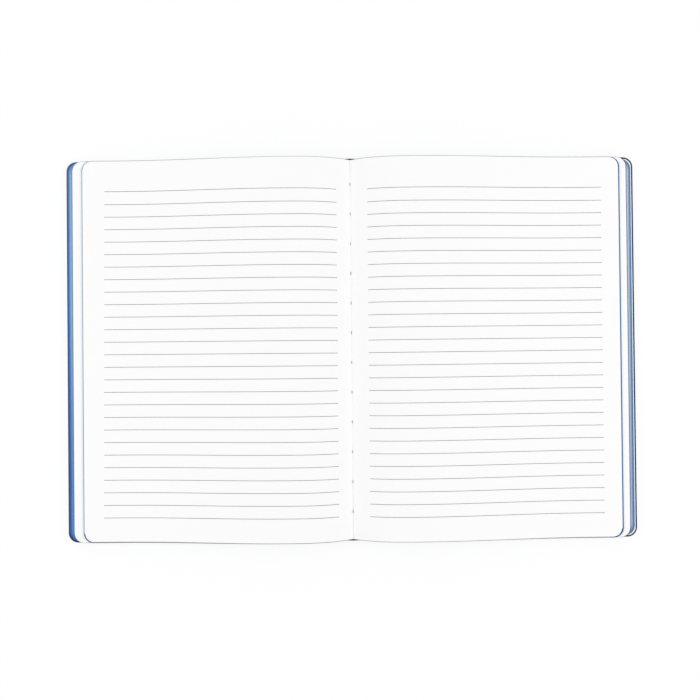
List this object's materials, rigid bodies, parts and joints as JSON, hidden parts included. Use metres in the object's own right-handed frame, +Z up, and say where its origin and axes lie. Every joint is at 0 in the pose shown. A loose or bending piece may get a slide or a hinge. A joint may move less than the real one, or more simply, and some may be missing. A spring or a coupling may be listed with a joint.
{
  "type": "open composition notebook",
  "caption": "Section-sewn softcover notebook lying open, with arched ruled pages, sewing in the fold, stained fore edges, rounded corners and two hinged cover panels.",
  "frame": {"origin": "middle of the spine, on the surface the notebook lies on", "axes": "+Z up; +Y along the fold towards the head of the pages; +X towards the back cover's fore edge, so the front cover lies at -X"},
  "size_m": [0.3734, 0.25, 0.0141],
  "materials": {
    "pages": "uncoated, matte",
    "thread": "twisted thread",
    "lining": "woven cloth",
    "cover_card": "coated card, satin",
    "endpaper": "uncoated, matte"
  },
  "bodies": {
    "book": {"text_block": "pages", "sewing_thread": "thread", "spine_lining": "lining", "cover_spine": "cover_card"},
    "front_cover": {"front_cover": "cover_card", "front_endpaper": "endpaper"},
    "back_cover": {"back_cover": "cover_card", "back_endpaper": "endpaper"}
  },
  "joints": [
    {"name": "front_cover_hinge", "type": "hinge", "parent": "book", "child": "front_cover", "pos_m": [-0.00767, 0, 0], "axis": [0, -1, 0], "range_deg": [0, 90]},
    {"name": "back_cover_hinge", "type": "hinge", "parent": "book", "child": "back_cover", "pos_m": [0.00767, 0, 0], "axis": [0, 1, 0], "range_deg": [0, 90]}
  ]
}
